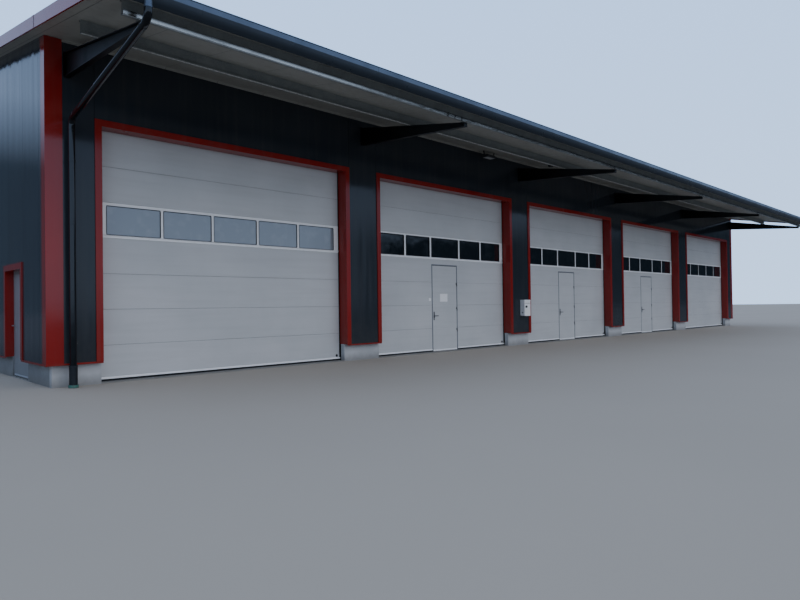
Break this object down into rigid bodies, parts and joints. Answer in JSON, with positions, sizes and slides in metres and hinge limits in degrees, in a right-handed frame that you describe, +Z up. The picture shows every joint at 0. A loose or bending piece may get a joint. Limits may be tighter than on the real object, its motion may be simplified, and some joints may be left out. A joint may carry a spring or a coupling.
{
  "type": "industrial hall",
  "caption": "Long industrial hall with overhead and wicket doors, a deep canopy on tapered steel arms, dark flat cladding with red flashings and a low pitched roof.",
  "frame": {"origin": "on the ground at the outer face of the front cladding, in the middle of the hall's length", "axes": "+X along the front to the right as seen from outside, +Y into the hall, +Z up"},
  "size_m": [32.396, 16.44, 6.8375],
  "materials": {
    "concrete": "rough cast concrete",
    "hall_steel": "matt grey primer",
    "canopy_steel": "matt anthracite paint",
    "galvanised_steel": "dull galvanised",
    "anthracite_panel": "smooth satin coating",
    "roof_sheet": "smooth satin coating",
    "red_flashing": "satin coating",
    "door_section": "satin coating",
    "door_pane": "clear",
    "door_rubber": "matt",
    "door_guide": "galvanised with a dark lip",
    "wicket_frame": "black coating",
    "side_door_paint": "satin coating",
    "zinc": "weathered zinc",
    "dark_pipe": "satin anthracite coating",
    "drain_plastic": "satin",
    "white_box": "smooth powder coating",
    "lamp_grey": "satin coating"
  },
  "bodies": {
    "hall": {"back_plinth": "concrete", "back_rafters": "hall_steel", "back_wall": "anthracite_panel", "canopy_arms": "canopy_steel", "columns": "hall_steel", "corner_flashings": "red_flashing", "door_glass": "door_pane", "door_guides": "door_guide", "door_posts": "hall_steel", "door_seals": "door_rubber", "door_trims": "red_flashing", "downpipe_back_left": "dark_pipe", "downpipe_back_right": "dark_pipe", "downpipe_front": "dark_pipe", "drip_flashings": "red_flashing", "floodlight": "lamp_grey", "floor_slab": "concrete", "front_piers": "anthracite_panel", "front_plinth": "concrete", "front_rafters": "hall_steel", "gable_plinths": "concrete", "gutter_back": "zinc", "gutter_front": "zinc", "left_gable_back": "anthracite_panel", "left_gable_front": "anthracite_panel", "left_gable_over_door": "anthracite_panel", "lintel_panels": "anthracite_panel", "pipe_clips": "dark_pipe", "purlins": "galvanised_steel", "ridge_cap": "red_flashing", "right_gable_wall": "anthracite_panel", "roof_back": "roof_sheet", "roof_front": "roof_sheet", "sectional_door_1": "door_section", "sectional_door_2": "door_section", "sectional_door_3": "door_section", "sectional_door_4": "door_section", "sectional_door_5": "door_section", "side_door_frame": "side_door_paint", "side_door_trim": "red_flashing", "soffit_closure": "roof_sheet", "standpipes": "drain_plastic", "verge_flashings": "red_flashing", "wall_box": "white_box", "wall_rails": "hall_steel", "wicket_frames": "wicket_frame"},
    "wicket_2": {"wicket_door_2": "door_section"},
    "wicket_3": {"wicket_door_3": "door_section"},
    "wicket_4": {"wicket_door_4": "door_section"},
    "side_leaf": {"side_door": "side_door_paint"}
  },
  "joints": [
    {"name": "wicket_2_hinge", "type": "hinge", "parent": "hall", "child": "wicket_2", "pos_m": [-5.794, 0.251, 1.13], "axis": [0, 0, 1], "range_deg": [0, 90]},
    {"name": "wicket_3_hinge", "type": "hinge", "parent": "hall", "child": "wicket_3", "pos_m": [0.456, 0.251, 1.13], "axis": [0, 0, 1], "range_deg": [0, 90]},
    {"name": "wicket_4_hinge", "type": "hinge", "parent": "hall", "child": "wicket_4", "pos_m": [6.706, 0.251, 1.13], "axis": [0, 0, 1], "range_deg": [0, 90]},
    {"name": "side_door_hinge", "type": "hinge", "parent": "hall", "child": "side_leaf", "pos_m": [-15.829, 1.559, 1.13], "axis": [0, 0, 1], "range_deg": [0, 90]}
  ]
}
